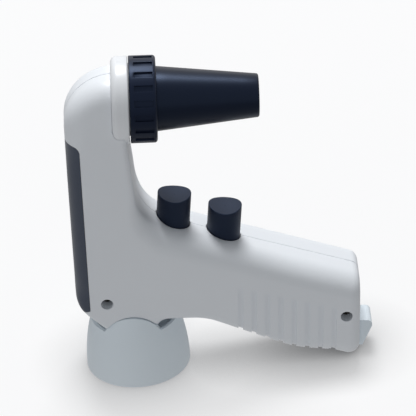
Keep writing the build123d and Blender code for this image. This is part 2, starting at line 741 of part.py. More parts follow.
def make_trigger(name):
    """Dished trigger button with its retaining flange and plunger boss."""
    length = TRIGGER_LENGTH + TRIGGER_DISH
    body = Pos(0, 0, TRIGGER_DISH - length / 2) * Cylinder(TRIGGER_RADIUS, length)
    dish_radius = (TRIGGER_RADIUS**2 + TRIGGER_DISH**2) / (2 * TRIGGER_DISH)
    dish = Pos(0, 0, dish_radius) * Rot(90, 0, 0) * Cylinder(dish_radius, 4 * TRIGGER_RADIUS)
    flange_v = -TRIGGER_LENGTH + TRIGGER_FLANGE_HEIGHT / 2
    body += Pos(0, 0, flange_v) * Cylinder(TRIGGER_RADIUS + TRIGGER_FLANGE, TRIGGER_FLANGE_HEIGHT)
    body -= dish
    rim = [edge for edge in body.edges() if edge.center().Z > -TRIGGER_DISH and edge.length > TRIGGER_RADIUS]
    body = fillet(rim, TRIGGER_RIM_ROUND)
    hollow = TRIGGER_LENGTH - TRIGGER_SKIN
    body -= Pos(0, 0, -TRIGGER_SKIN - hollow / 2) * Cylinder(TRIGGER_RADIUS - TRIGGER_WALL, hollow)
    boss = PLUNGER_BOSS_LENGTH
    body += Pos(0, 0, -TRIGGER_SKIN - boss / 2) * Cylinder(PLUNGER_RADIUS + PLUNGER_BOSS_WALL, boss)
    socket = TRIGGER_SKIN + boss - PLUNGER_START
    body -= Pos(0, 0, -PLUNGER_START - socket / 2) * Cylinder(PLUNGER_RADIUS, socket)
    return trigger_frame(name) * body


def make_plunger(name):
    """Metal pin that carries the trigger's travel to the valve and the switch."""
    pin = Pos(0, 0, -PLUNGER_START - PLUNGER_LENGTH / 2) * Cylinder(PLUNGER_RADIUS, PLUNGER_LENGTH)
    pin = chamfer(pin.edges().group_by(Axis.Z)[0], PLUNGER_RADIUS / 4)
    return trigger_frame(name) * pin


def make_guide(name):
    """Plate across the housing that holds the trigger's flange in."""
    top = -TRIGGER_LENGTH + TRIGGER_FLANGE_HEIGHT + BODY_GAP + GUIDE_THICKNESS
    v = TRIGGER_TOPS[name][1] + top
    width = 2 * (half_width(v) - GUIDE_SIDE_GAP)
    plate = Pos(0, 0, top - GUIDE_THICKNESS / 2) * Box(GUIDE_LENGTH, width, GUIDE_THICKNESS)
    plate -= Pos(0, 0, top - GUIDE_THICKNESS / 2) * Cylinder(TRIGGER_RADIUS + BODY_GAP, 2 * GUIDE_THICKNESS)
    return (trigger_frame(name) * plate) & housing_body(WALL + GUIDE_SIDE_GAP)


def make_spring(name):
    """Return spring between the trigger's skin and the valve block."""
    start = TRIGGER_SKIN + SPRING_WIRE + BODY_GAP / 2
    height = VALVE_START - SPRING_WIRE - BODY_GAP / 2 - start
    path = Pos(0, 0, -start - height) * Helix(SPRING_PITCH, height, SPRING_RADIUS)
    profile = Plane(origin=path @ 0, z_dir=path % 0) * Circle(SPRING_WIRE)
    return trigger_frame(name) * sweep(profile, path, is_frenet=True)


def make_valve(name):
    """Needle valve block with a hose nipple towards the arm."""
    middle = -VALVE_START - VALVE_HEIGHT / 2
    width = min(VALVE_WIDTH, 2 * BOARD_FACE - 2 * BODY_GAP)
    block = Pos(0, 0, middle) * Box(VALVE_LENGTH, width, VALVE_HEIGHT)
    block = chamfer(block.edges().filter_by(Axis.Z), 1.5)
    block -= Pos(0, 0, middle) * Cylinder(PLUNGER_RADIUS + PLUNGER_CLEARANCE, 2 * VALVE_HEIGHT)
    nipple = Pos(-VALVE_LENGTH / 2 - NIPPLE_LENGTH / 2, NIPPLE_PLACE, middle) * Rot(0, 90, 0)
    block += nipple * Cylinder(NIPPLE_RADIUS, NIPPLE_LENGTH)
    block -= nipple * Cylinder(NIPPLE_BORE, 2 * NIPPLE_LENGTH)
    reach = half_width(TRIGGER_TOPS[name][1] + middle) - GUIDE_SIDE_GAP
    arm = Pos(0, -reach / 2, middle) * Box(VALVE_LENGTH / 2, reach, VALVE_HEIGHT / 3)
    arm -= Pos(0, 0, middle) * Cylinder(PLUNGER_RADIUS + PLUNGER_CLEARANCE, 2 * VALVE_HEIGHT)
    return trigger_frame(name) * (block + arm)


def make_switch(name):
    """Micro switch under the valve, fixed to the control board."""
    top = PLUNGER_START + PLUNGER_LENGTH + TRIGGER_TRAVEL + BODY_GAP
    width = BOARD_FACE + SWITCH_LENGTH / 2
    body = Box(SWITCH_LENGTH, width, SWITCH_HEIGHT)
    body = Pos(0, BOARD_FACE - width / 2, -top - SWITCH_HEIGHT / 2) * body
    body = chamfer(body.edges().filter_by(Axis.Z), 0.5)
    return trigger_frame(name) * body


def make_board():
    """Control board along the right half."""
    board = Box(BOARD_LENGTH, BOARD_THICKNESS, BOARD_HEIGHT)
    board = fillet(board.edges().filter_by(Axis.Y), 1.5)
    chip = Pos(0, BOARD_THICKNESS, 0) * Box(7, BOARD_THICKNESS, 7)
    coil = Pos(BOARD_LENGTH / 4, BOARD_THICKNESS, -3) * Box(4, BOARD_THICKNESS, 4)
    place = Pos(BOARD_CENTRE[0], BOARD_FACE + BOARD_THICKNESS / 2, BOARD_CENTRE[1]) * Rot(0, CELL_SLOPE, 0)
    return place * (board + chip + coil)


def pump_frame(v):
    """Location on the pump's axis at height v."""
    return Pos(PUMP_AXIS, 0, v)


def rod_up(radius, low, high):
    """Cylinder along the local Z axis between two heights."""
    return Pos(0, 0, (low + high) / 2) * Cylinder(radius, high - low)


def make_motor():
    """Pump motor can with its shaft bore."""
    can = rod_up(MOTOR_RADIUS, MOTOR_TOP - MOTOR_LENGTH, MOTOR_TOP)
    can = fillet(can.edges().group_by(Axis.Z)[0], 1.2)
    can -= rod_up(SHAFT_RADIUS + SHAFT_CLEARANCE, MOTOR_TOP - MOTOR_BORE - BODY_GAP, MOTOR_TOP)
    return pump_frame(0) * can


def shaft_levels():
    """Lower and upper face of the eccentric."""
    low = MOTOR_TOP + BRACKET_THICKNESS + BODY_GAP
    return low, low + ECCENTRIC_THICKNESS


def make_shaft():
    """Motor shaft with the eccentric and its crank pin."""
    low, high = shaft_levels()
    shaft = rod_up(SHAFT_RADIUS, MOTOR_TOP - MOTOR_BORE, low)
    shaft += rod_up(ECCENTRIC_RADIUS, low, high)
    shaft += Pos(CRANK_OFFSET, 0, 0) * rod_up(SHAFT_RADIUS, high, high + CRANK_LENGTH)
    return pump_frame(0) * shaft


def pump_low():
    """Underside of the pump's diaphragm."""
    return shaft_levels()[1] + CRANK_LENGTH + BODY_GAP


def make_diaphragm():
    """Rubber diaphragm under the pump head."""
    low = pump_low()
    disc = rod_up(DIAPHRAGM_RADIUS, low, low + DIAPHRAGM_THICKNESS)
    return pump_frame(0) * fillet(disc.edges().group_by(Axis.Z)[0], 0.4)


def make_pump_head():
    """Pump head with its two nipples and the ears that the posts carry."""
    low = pump_low() + DIAPHRAGM_THICKNESS
    high = low + PUMP_HEIGHT
    head = rod_up(PUMP_RADIUS, low, high)
    head = chamfer(head.edges().group_by(Axis.Z)[-1], 1.0)
    ear = Box(EAR_WIDTH, 2 * (POST_PLACE + POST_RADIUS), EAR_THICKNESS)
    head += Pos(0, 0, low + EAR_THICKNESS / 2) * ear
    for side in (-1, 1):
        nipple = Pos(0, side * NIPPLE_PLACE, 0)
        head += nipple * rod_up(NIPPLE_RADIUS, high, high + NIPPLE_LENGTH)
        head -= nipple * rod_up(NIPPLE_BORE, high - NIPPLE_LENGTH, high + NIPPLE_LENGTH)
    return pump_frame(0) * head


def make_bracket():
    """Plate over the motor with two posts to the pump head."""
    width = 2 * (half_width(MOTOR_TOP) - GUIDE_SIDE_GAP)
    plate = Pos(0, 0, MOTOR_TOP + BRACKET_THICKNESS / 2) * Box(BRACKET_LENGTH, width, BRACKET_THICKNESS)
    plate -= rod_up(SHAFT_RADIUS + 1, MOTOR_TOP, MOTOR_TOP + BRACKET_THICKNESS)
    for side in (-1, 1):
        ear_low = pump_low() + DIAPHRAGM_THICKNESS
        plate += Pos(0, side * POST_PLACE, 0) * rod_up(POST_RADIUS, MOTOR_TOP + BRACKET_THICKNESS, ear_low)
    return (pump_frame(0) * plate) & housing_body(WALL + GUIDE_SIDE_GAP)


def hose(points, radii):
    """Silicone hose along straight runs joined by arcs."""
    path = FilletPolyline(*points, radius=radii)
    start = Plane(origin=path @ 0, z_dir=path % 0)
    ring = start * (Circle(NIPPLE_RADIUS + TUBE_WALL) - Circle(NIPPLE_RADIUS))
    return sweep(ring, path, transition=Transition.ROUND)


def make_nose_tube():
    """Hose from the filter's tail to the pump head."""
    rear = -RING_LENGTH + RING_WEB + BODY_GAP / 2 - FILTER_TAIL_LENGTH
    top = pump_low() + DIAPHRAGM_THICKNESS + PUMP_HEIGHT
    points = [
        (rear + 2.6, 0, 0),
        (rear - 5.5, 0, 0),
        (PUMP_AXIS - 4.2, -NIPPLE_PLACE, top + 16),
        (PUMP_AXIS, -NIPPLE_PLACE, top + 10),
        (PUMP_AXIS, -NIPPLE_PLACE, top + 0.4),
    ]
    return hose(points, [5.0, 5.0, 5.0])


def make_valve_tube():
    """Hose from the pump head past the motor to the aspirate valve."""
    top = pump_low() + DIAPHRAGM_THICKNESS + PUMP_HEIGHT
    nipple = trigger_frame("aspirate") * Pos(
        -VALVE_LENGTH / 2 - 0.4, NIPPLE_PLACE, -VALVE_START - VALVE_HEIGHT / 2)
    run = trigger_frame("aspirate") * Pos(
        -VALVE_LENGTH / 2 - NIPPLE_LENGTH - 5, NIPPLE_PLACE, -VALVE_START - VALVE_HEIGHT / 2)
    end = nipple.position
    before = run.position
    side = PUMP_AXIS + HOSE_PLACE[0]
    points = [
        (PUMP_AXIS, NIPPLE_PLACE, top + 0.4),
        (PUMP_AXIS, NIPPLE_PLACE, top + 9.5),
        (side, HOSE_PLACE[1], top + 9.5),
        (side, HOSE_PLACE[1], MOTOR_TOP - 10),
        (before.X, before.Y, before.Z),
        (end.X, end.Y, end.Z),
    ]
    return hose(points, [4.0, 4.0, 8.0, 5.0])


def cell_frame():
    """Location of the battery: its middle, +X along the cell towards the grip's end."""
    return Pos(CELL_CENTRE[0], 0, CELL_CENTRE[1]) * Rot(0, CELL_SLOPE, 0)


def lying_rod(radius, start, end):
    """Cylinder along the local X axis."""
    return Pos((start + end) / 2, 0, 0) * Rot(0, 90, 0) * Cylinder(radius, end - start)


def make_cell():
    """Lithium cell with its raised terminal."""
    half = CELL_LENGTH / 2
    cell = lying_rod(CELL_RADIUS, -half, half - 1)
    cell = fillet(cell.edges().filter_by(GeomType.CIRCLE), 0.6)
    cell += lying_rod(CELL_RADIUS / 3, half - 1, half)
    return cell_frame() * cell


def make_cell_cradle():
    """Half-round holder under the cell, with end walls and lugs to both housing halves."""
    half = CELL_LENGTH / 2 + CONTACT_REACH
    inner = CELL_RADIUS + CELL_GAP
    outer = inner + CRADLE_WALL
    trough = lying_rod(outer, -half - CRADLE_WALL, half + CRADLE_WALL)
    trough -= lying_rod(inner, -half, half)
    trough &= Pos(0, 0, -outer) * Box(4 * half, 4 * outer, 2 * outer)
    reach = half_width(CELL_CENTRE[1]) - GUIDE_SIDE_GAP
    lug = Pos(0, 0, -CRADLE_WALL) * Box(CRADLE_LUG, 2 * reach, 2 * CRADLE_WALL)
    lug -= lying_rod(inner, -half, half)
    return cell_frame() * (trough + lug)


def make_contacts():
    """Two contact plates at the cell's ends, one solid each."""
    half = CELL_LENGTH / 2 + CONTACT_REACH - CONTACT_THICKNESS / 2
    plates = []
    for side in (-1, 1):
        plate = Pos(side * half, 0, 0) * Box(CONTACT_THICKNESS, CONTACT_SIZE, CONTACT_SIZE)
        inner = CONTACT_REACH - CONTACT_THICKNESS
        start = side * (CELL_LENGTH / 2 + inner / 2)
        plate += Pos(start, 0, 0) * Rot(0, 90, 0) * Cylinder(CELL_RADIUS / 4, inner)
        plates.append((cell_frame() * plate).solid())
    return Compound(children=plates)


def make_socket():
    """Charging socket on the end wall's inner face."""
    end = GRIP_END - WALL
    start = end - SOCKET_LENGTH
    body = x_tube(SOCKET_RADIUS, 0, start, end)
    body -= x_tube(SOCKET_BORE_RADIUS, 0, end - SOCKET_BORE_LENGTH, end)
    body += x_tube(SOCKET_PIN_RADIUS, 0, start, end - SOCKET_BORE_LENGTH / 2)
    return Pos(0, 0, grip_top(GRIP_END) - SOCKET_DROP) * body


def make_cover():
    """Wedge-shaped cover over the charging socket."""
    top = grip_top(GRIP_END) - COVER_TOP
    low = top - COVER_HEIGHT
    start = GRIP_END + BODY_GAP / 2
    outline = Polyline(
        (start, top),
        (GRIP_END + COVER_TOP_REACH, top),
        (GRIP_END + COVER_FOOT_REACH, low),
        (start, low),
        close=True,
    )
    wedge = extrude(make_face(Plane.XZ * outline), amount=COVER_WIDTH / 2, both=True)
    wedge = fillet(wedge.edges().filter_by(Axis.Y).sort_by(Axis.X)[-1], COVER_ROUND)
    plug_start = start - COVER_PLUG_LENGTH
    plug = x_tube(COVER_PLUG_RADIUS, SOCKET_PIN_RADIUS + BODY_GAP, plug_start, start)
    wedge += Pos(0, 0, grip_top(GRIP_END) - SOCKET_DROP) * plug
    return wedge


def dome_radius(z, inset):
    """Outer radius of the cradle's dome at height z, set in by a distance."""
    drop = CRADLE_DOME_RADIUS - (CRADLE_DOME_RADIUS**2 - z**2)**0.5
    return CRADLE_BASE_RADIUS - drop - inset


def dome(inset, low, high):
    """Solid of the dome between two heights."""
    middle = (low + high) / 2
    outline = [
        Line((0, low), (dome_radius(low, inset), low)),
        ThreePointArc(
            (dome_radius(low, inset), low),
            (dome_radius(middle, inset), middle),
            (dome_radius(high, inset), high)),
        Line((dome_radius(high, inset), high), (0, high)),
        Line((0, high), (0, low)),
    ]
    return revolve(Plane.XZ * make_face(outline), Axis.Z, 360)


def make_cradle(seat):
    """Dome cradle: skirt, seat web, cup and the two cheeks that stand beside the foot."""
    low = seat - CRADLE_SEAT_THICKNESS
    cradle = dome(0, 0, CRADLE_RIM)
    cradle -= dome(CRADLE_SHELL, seat, CRADLE_RIM + 1)
    cradle -= dome(CRADLE_SKIRT, -1, low)
    cheeks = dome(0, low, CRADLE_CHEEK + 1) & cheek_prism(0)
    cheeks -= Box(4 * CRADLE_BASE_RADIUS, 2 * CRADLE_CHEEK_FACE, 4 * CRADLE_CHEEK)
    return cradle + cheeks


def make_pad():
    """Soft pad that closes the cradle's skirt and stands on the bench."""
    pad = dome(CRADLE_SKIRT + PAD_CLEARANCE, 0, PAD_THICKNESS)
    return chamfer(pad.edges().group_by(Axis.Z)[0], CRADLE_FOOT_GAP)


def rest_height():
    """Height of the nose axis at u = 0, with the grip's lower end corner on the table."""
    corner = end_corner()
    slope = radians(GRIP_UNDER_SLOPE)
    centre_v = corner[1] + END_RADIUS * tan(slope) + END_RADIUS / cos(slope)
    centre_u = corner[0] - END_RADIUS
    droop = radians(NOSE_DROOP)
    centre_z = -sin(droop) * centre_u + cos(droop) * centre_v
    return END_RADIUS - centre_z


def placed(shape):
    """A piece of the controller in its rest posture."""
    return Pos(NUT_OFFSET, 0, rest_height()) * Rot(0, NOSE_DROOP, 0) * shape


def seat_height():
    """Top of the cradle's seat, just under the foot's lowest point."""
    droop = radians(NOSE_DROOP)
    lowest = -sin(droop) * FOOT_FRONT - cos(droop) * FOOT_DEPTH
    return rest_height() + lowest - BODY_GAP


def controller_pieces():
    """Every piece of the controller in its own frame, by name."""
    left, right, panel = make_shells()
    pieces = {
        "housing_left": left,
        "housing_right": right,
        "back_inlay": panel,
        "housing_screws": make_screws(),
        "mounting_ring": make_ring(),
        "union_nut": make_nut(),
        "nose_cone": make_cone(),
        "pipette_holder": make_holder(),
        "membrane_filter": make_filter(),
        "nose_gasket": make_gasket(),
        "pump_motor": make_motor(),
        "motor_shaft": make_shaft(),
        "pump_diaphragm": make_diaphragm(),
        "pump_head": make_pump_head(),
        "pump_bracket": make_bracket(),
        "nose_tube": make_nose_tube(),
        "valve_tube": make_valve_tube(),
        "control_board": make_board(),
        "battery_cell": make_cell(),
        "battery_cradle": make_cell_cradle(),
        "battery_contacts": make_contacts(),
        "charging_socket": make_socket(),
        "socket_cover": make_cover(),
    }
    for name in TRIGGER_TOPS:
        pieces[name + "_trigger"] = make_trigger(name)
        pieces[name + "_plunger"] = make_plunger(name)
        pieces[name + "_guide"] = make_guide(name)
        pieces[name + "_spring"] = make_spring(name)
        pieces[name + "_valve"] = make_valve(name)
        pieces[name + "_switch"] = make_switch(name)
    return pieces


def main():
    os.makedirs("parts", exist_ok=True)
    for name, piece in controller_pieces().items():
        export_step(placed(piece), f"parts/{name}.step")
    export_step(make_cradle(seat_height()), "parts/bench_cradle.step")
    export_step(make_pad(), "parts/cradle_pad.step")


if __name__ == "__main__":
    main()
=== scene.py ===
"""Electric pipette controller in its bench cradle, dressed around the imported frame."""

import json
import logging
import math
from dataclasses import dataclass
from enum import Enum
from typing import Callable, Sequence

import bmesh
import bpy
from mathutils import Matrix, Vector


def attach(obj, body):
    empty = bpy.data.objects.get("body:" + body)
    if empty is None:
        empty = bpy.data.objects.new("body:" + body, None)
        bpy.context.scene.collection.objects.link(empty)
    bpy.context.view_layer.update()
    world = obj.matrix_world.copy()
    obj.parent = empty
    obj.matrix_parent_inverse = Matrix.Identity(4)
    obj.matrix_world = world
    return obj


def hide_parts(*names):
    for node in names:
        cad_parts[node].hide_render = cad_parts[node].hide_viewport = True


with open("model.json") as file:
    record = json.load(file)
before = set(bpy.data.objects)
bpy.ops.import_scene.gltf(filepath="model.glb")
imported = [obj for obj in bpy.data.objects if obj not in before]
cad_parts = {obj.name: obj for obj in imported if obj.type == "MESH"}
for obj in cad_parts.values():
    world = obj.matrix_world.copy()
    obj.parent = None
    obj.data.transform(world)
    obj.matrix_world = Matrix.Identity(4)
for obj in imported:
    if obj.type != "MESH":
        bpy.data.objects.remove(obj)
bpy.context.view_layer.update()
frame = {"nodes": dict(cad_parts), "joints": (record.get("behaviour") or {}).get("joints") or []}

log = logging.getLogger("pipette_controller")

MM = 0.001
MERGE = 1e-6            # metres between points of a new piece that are one
NODE_MERGE = 2e-6       # the same for the loose triangles of a frame node
ON_PLACE = 1e-5         # metres within which a point of the trigger's rim is found
ON_PLANE = 1e-6         # metres within which a point lies on the parting plane

COAT_ROUGHNESS = 0.12
BRUSH_SCALE = 0.08      # scale of the grain along the brushing, against across it
BROAD_SIZE = 28.0       # size of the tinted patches against the grain's
BROAD_DETAIL = 3.0
FINE_DETAIL = 6.0
CELL_SIZE = 0.6         # size of the pebbles against the grain's
GLOSS_SPREAD = 0.05     # how far the roughness strays to either side
LEAST_ROUGHNESS = 0.02
SOFT_RELIEF = 0.5
FINE_RELIEF = 0.25

Station = tuple[float, float]
Place = tuple[float, float, float]
Colour = tuple[float, float, float]


def colour_mix(tree: bpy.types.NodeTree, share: bpy.types.NodeSocket) -> bpy.types.Node:
    """Adds a mix of two colours to a node tree.

    Args:
        tree: Tree that gets the node.
        share: Socket that says how much of the second colour shows.

    Returns:
        The mix node, with its colours A and B still to be set.
    """
    mix = tree.nodes.new("ShaderNodeMix")
    mix.data_type = "RGBA"
    tree.links.new(share, mix.inputs["Factor"])
    return mix


class Grain(Enum):
    """Kinds of surface texture that a finish can carry."""

    FINE = "fine"
    SOFT_TOUCH = "soft touch"
    BRUSHED = "brushed"


@dataclass(frozen=True)
class Finish:
    """A surface finish, built as a node material on object coordinates.

    Attributes:
        name: Name of the finish.
        colour: Base colour, linear.
        roughness: Mean roughness.
        grain: Kind of texture.
        bump: Height of the texture in millimetres.
        size: Size of the texture's features in millimetres.
        metallic: Metal share.
        coat: Weight of a clear coat.
        sheen: Weight of a soft sheen.
        tint: Share by which the colour varies over the surface.
        see_through: Transmission share.
        ior: Index of refraction.
        shine: Specular level, 0.5 for plain plastic.
        gloss: Colour of the reflections.
    """

    name: str
    colour: Colour
    roughness: float
    grain: Grain = Grain.FINE
    bump: float = 0.01
    size: float = 0.9
    metallic: float = 0.0
    coat: float = 0.0
    sheen: float = 0.0
    tint: float = 0.05
    see_through: float = 0.0
    ior: float = 1.5
    shine: float = 0.5
    gloss: Colour = (1.0, 1.0, 1.0)

    def material(self) -> bpy.types.Material:
        """Returns the finish's material, made on first use."""
        known = bpy.data.materials.get(f"{self.name}_finish")
        return known if known else self._build()

    def _build(self) -> bpy.types.Material:
        """Builds a tinted base with an uneven gloss and a fine relief.

        Returns:
            The new material.
        """
        made = bpy.data.materials.new(f"{self.name}_finish")
        made.use_nodes = True
        tree = made.node_tree
        shader = tree.nodes["Principled BSDF"]
        for socket, value in (
            ("Metallic", self.metallic),
            ("Coat Weight", self.coat),
            ("Coat Roughness", COAT_ROUGHNESS),
            ("Sheen Weight", self.sheen),
            ("IOR", self.ior),
            ("Specular IOR Level", self.shine),
            ("Specular Tint", (*self.gloss, 1.0)),
            ("Transmission Weight", self.see_through),
        ):
            shader.inputs[socket].default_value = value
        origin = tree.nodes.new("ShaderNodeTexCoord")
        spread = tree.nodes.new("ShaderNodeMapping")
        tree.links.new(origin.outputs["Object"], spread.inputs["Vector"])
        if self.grain is Grain.BRUSHED:
            spread.inputs["Scale"].default_value = (BRUSH_SCALE, 1.0, 1.0)
        broad = self._noise(tree, spread, BROAD_SIZE * self.size, BROAD_DETAIL)
        fine = self._noise(tree, spread, self.size, FINE_DETAIL)
        self._tint_base(tree, shader, broad)
        self._vary_gloss(tree, shader, fine)
        self._add_relief(tree, shader, spread, fine)
        return made

    def _noise(
        self, tree: bpy.types.NodeTree, source: bpy.types.Node, size: float, detail: float
    ) -> bpy.types.Node:
        """Adds a noise texture.

        Args:
            tree: Tree of the material.
            source: Node whose vector is read.
            size: Size of the features in millimetres.
            detail: Octaves.

        Returns:
            The noise node.
        """
        noise = tree.nodes.new("ShaderNodeTexNoise")
        noise.inputs["Scale"].default_value = 1.0 / (size * MM)
        noise.inputs["Detail"].default_value = detail
        tree.links.new(source.outputs["Vector"], noise.inputs["Vector"])
        return noise

    def _tint_base(
        self, tree: bpy.types.NodeTree, shader: bpy.types.Node, broad: bpy.types.Node
    ) -> None:
        """Varies the base colour over broad patches.

        Args:
            tree: Tree of the material.
            shader: Shader that takes the colour.
            broad: Noise that places the patches.
        """
        mix = colour_mix(tree, broad.outputs["Fac"])
        low = tuple(part * (1.0 - self.tint) for part in self.colour)
        high = tuple(min(1.0, part * (1.0 + self.tint)) for part in self.colour)
        mix.inputs["A"].default_value = (*low, 1.0)
        mix.inputs["B"].default_value = (*high, 1.0)
        tree.links.new(mix.outputs["Result"], shader.inputs["Base Color"])

    def _vary_gloss(
        self, tree: bpy.types.NodeTree, shader: bpy.types.Node, fine: bpy.types.Node
    ) -> None:
        """Varies the roughness a little round its mean.

        Args:
            tree: Tree of the material.
            shader: Shader that takes the roughness.
            fine: Noise that is followed.
        """
        gloss = tree.nodes.new("ShaderNodeMapRange")
        gloss.inputs["To Min"].default_value = max(LEAST_ROUGHNESS, self.roughness - GLOSS_SPREAD)
        gloss.inputs["To Max"].default_value = min(1.0, self.roughness + GLOSS_SPREAD)
        tree.links.new(fine.outputs["Fac"], gloss.inputs["Value"])
        tree.links.new(gloss.outputs["Result"], shader.inputs["Roughness"])

    def _add_relief(
        self,
        tree: bpy.types.NodeTree,
        shader: bpy.types.Node,
        spread: bpy.types.Node,
        fine: bpy.types.Node,
    ) -> None:
        """Raises the surface by its fine noise, or by pebbles on a soft overmould.

        Args:
            tree: Tree of the material.
            shader: Shader that takes the normal.
            spread: Node whose vector places the pebbles.
            fine: Noise that is followed on every other finish.
        """
        relief = tree.nodes.new("ShaderNodeBump")
        relief.inputs["Distance"].default_value = self.bump * MM
        if self.grain is Grain.SOFT_TOUCH:
            relief.inputs["Strength"].default_value = SOFT_RELIEF
            cells = tree.nodes.new("ShaderNodeTexVoronoi")
            cells.feature = "SMOOTH_F1"
            cells.inputs["Scale"].default_value = 1.0 / (CELL_SIZE * self.size * MM)
            tree.links.new(spread.outputs["Vector"], cells.inputs["Vector"])
            tree.links.new(cells.outputs["Distance"], relief.inputs["Height"])
        else:
            relief.inputs["Strength"].default_value = FINE_RELIEF
            tree.links.new(fine.outputs["Fac"], relief.inputs["Height"])
        tree.links.new(relief.outputs["Normal"], shader.inputs["Normal"])


NAVY_GLOSS = (0.42, 0.60, 1.0)
WHITE_SHELL = Finish(
    "white_shell", (0.80, 0.83, 0.87), 0.42, bump=0.02, size=0.5, tint=0.012)
WHITE_RING = Finish(
    "white_ring", (0.80, 0.82, 0.85), 0.34, bump=0.004, size=0.7, coat=0.1, tint=0.01)
DARK_RUBBER = Finish(
    "dark_rubber", (0.034, 0.046, 0.074), 0.58, Grain.SOFT_TOUCH,
    bump=0.05, size=0.7, sheen=0.45, tint=0.08)
DARK_CONE = Finish(
    "dark_cone", (0.0020, 0.0027, 0.0070), 0.34,
    bump=0.006, size=0.6, tint=0.05, shine=0.26, gloss=NAVY_GLOSS)
DARK_NUT = Finish(
    "dark_nut", (0.0030, 0.0042, 0.0110), 0.40,
    bump=0.02, size=0.5, tint=0.06, shine=0.25, gloss=NAVY_GLOSS)
TRIGGER_PLASTIC = Finish(
    "trigger_plastic", (0.013, 0.018, 0.033), 0.46,
    bump=0.03, size=0.4, tint=0.05, shine=0.2, gloss=NAVY_GLOSS)
PALE_PLASTIC = Finish(
    "pale_plastic", (0.80, 0.88, 0.94), 0.50, bump=0.03, size=0.6, tint=0.02)
SILICONE = Finish(
    "silicone", (0.66, 0.67, 0.66), 0.45, bump=0.01, size=1.2, see_through=0.15, ior=1.41)
DARK_STEEL = Finish(
    "dark_steel", (0.060, 0.055, 0.050), 0.42, Grain.BRUSHED, bump=0.01, size=0.3, metallic=1.0)
STEEL = Finish(
    "steel", (0.56, 0.57, 0.58), 0.28, Grain.BRUSHED, bump=0.01, size=0.3, metallic=1.0)
BRASS = Finish(
    "brass", (0.66, 0.48, 0.20), 0.30, Grain.BRUSHED, bump=0.01, size=0.3, metallic=1.0)
CAPSULE = Finish(
    "filter_capsule", (0.84, 0.84, 0.80), 0.28, bump=0.01, size=1.0, see_through=0.10)
BLACK_PLASTIC = Finish("black_plastic", (0.022, 0.022, 0.024), 0.50, bump=0.03, size=0.5)
BOARD_LACQUER = Finish(
    "board_lacquer", (0.018, 0.110, 0.050), 0.34, bump=0.02, size=0.9, coat=0.3)
CELL_SLEEVE = Finish(
    "cell_sleeve", (0.050, 0.150, 0.340), 0.36, bump=0.01, size=1.0, coat=0.2)

FITTING_FINISHES = {
    "back_inlay": DARK_RUBBER,
    "housing_screws": DARK_STEEL,
    "pipette_holder": SILICONE,
    "membrane_filter": CAPSULE,
    "nose_gasket": SILICONE,
    "pump_motor": STEEL,
    "motor_shaft": STEEL,
    "pump_diaphragm": SILICONE,
    "pump_head": BLACK_PLASTIC,
    "pump_bracket": BLACK_PLASTIC,
    "nose_tube": SILICONE,
    "valve_tube": SILICONE,
    "control_board": BOARD_LACQUER,
    "battery_cell": CELL_SLEEVE,
    "battery_cradle": BLACK_PLASTIC,
    "battery_contacts": STEEL,
    "charging_socket": BLACK_PLASTIC,
    "socket_cover": PALE_PLASTIC,
    "bench_cradle": PALE_PLASTIC,
    "plunger": STEEL,
    "guide": BLACK_PLASTIC,
    "spring": STEEL,
    "valve": BRASS,
    "switch": BLACK_PLASTIC,
}


def clear_selection() -> None:
    """Leaves edit mode and deselects every object."""
    if bpy.context.object and bpy.context.object.mode != "OBJECT":
        bpy.ops.object.mode_set(mode="OBJECT")
    bpy.ops.object.select_all(action="DESELECT")


def make_active(piece: bpy.types.Object) -> None:
    """Makes one object the only selected and the active one.

    Args:
        piece: Object to work on.
    """
    clear_selection()
    piece.select_set(True)
    bpy.context.view_layer.objects.active = piece


def enter_edit(piece: bpy.types.Object, mode: str = "VERT") -> None:
    """Opens an object in edit mode with nothing selected.

    Args:
        piece: Object to edit.
        mode: Kind of element that is selected: VERT, EDGE or FACE.
    """
    make_active(piece)
    bpy.ops.object.mode_set(mode="EDIT")
    bpy.ops.mesh.select_mode(type=mode)
    bpy.ops.mesh.select_all(action="DESELECT")


def leave_edit() -> None:
    """Returns to object mode."""
    bpy.ops.object.mode_set(mode="OBJECT")


def pick_faces(
    piece: bpy.types.Object, wanted: Callable[[bmesh.types.BMFace], bool]
) -> None:
    """Selects the faces of the object in edit mode that a test accepts, and no others.

    Args:
        piece: Object in edit mode.
        wanted: Test of one face.
    """
    mesh = bmesh.from_edit_mesh(piece.data)
    for face in mesh.faces:
        face.select_set(False)
    for face in mesh.faces:
        if wanted(face):
            face.select_set(True)
    mesh.select_flush_mode()
    bmesh.update_edit_mesh(piece.data)


def smooth(piece: bpy.types.Object, angle: float) -> None:
    """Shades a piece smooth, with creases over an angle in degrees."""
    make_active(piece)
    bpy.ops.object.shade_smooth_by_angle(angle=math.radians(angle))


@dataclass(frozen=True)
class EdgeStyle:
    """How the edges of a piece are rounded and shaded.

    Attributes:
        width: Width of the rounding in millimetres.
        segments: Faces across the rounding.
        sharp: Angle between faces, in degrees, over which an edge is rounded.
        crease: Angle, in degrees, over which the shading breaks.
    """

    width: float
    segments: int
    sharp: float
    crease: float

    def apply(self, piece: bpy.types.Object) -> None:
        """Rounds the sharp edges of a piece and shades it smooth.

        Args:
            piece: Object to finish.
        """
        make_active(piece)
        bevel = piece.modifiers.new("edge_rounding", "BEVEL")
        bevel.width = self.width * MM
        bevel.segments = self.segments
        bevel.limit_method = "ANGLE"
        bevel.angle_limit = math.radians(self.sharp)
        bpy.ops.object.modifier_apply(modifier=bevel.name)
        smooth(piece, self.crease)


def lay(piece: bpy.types.Object, place: Matrix) -> None:
    """Moves a piece to its place and applies it, so that its object sits at the origin.

    Args:
        piece: Object to move.
        place: Matrix from the piece's own axes to the frame's.
    """
    make_active(piece)
    piece.matrix_world = place @ piece.matrix_world
    bpy.context.view_layer.update()
    bpy.ops.object.transform_apply(location=True, rotation=True, scale=True)


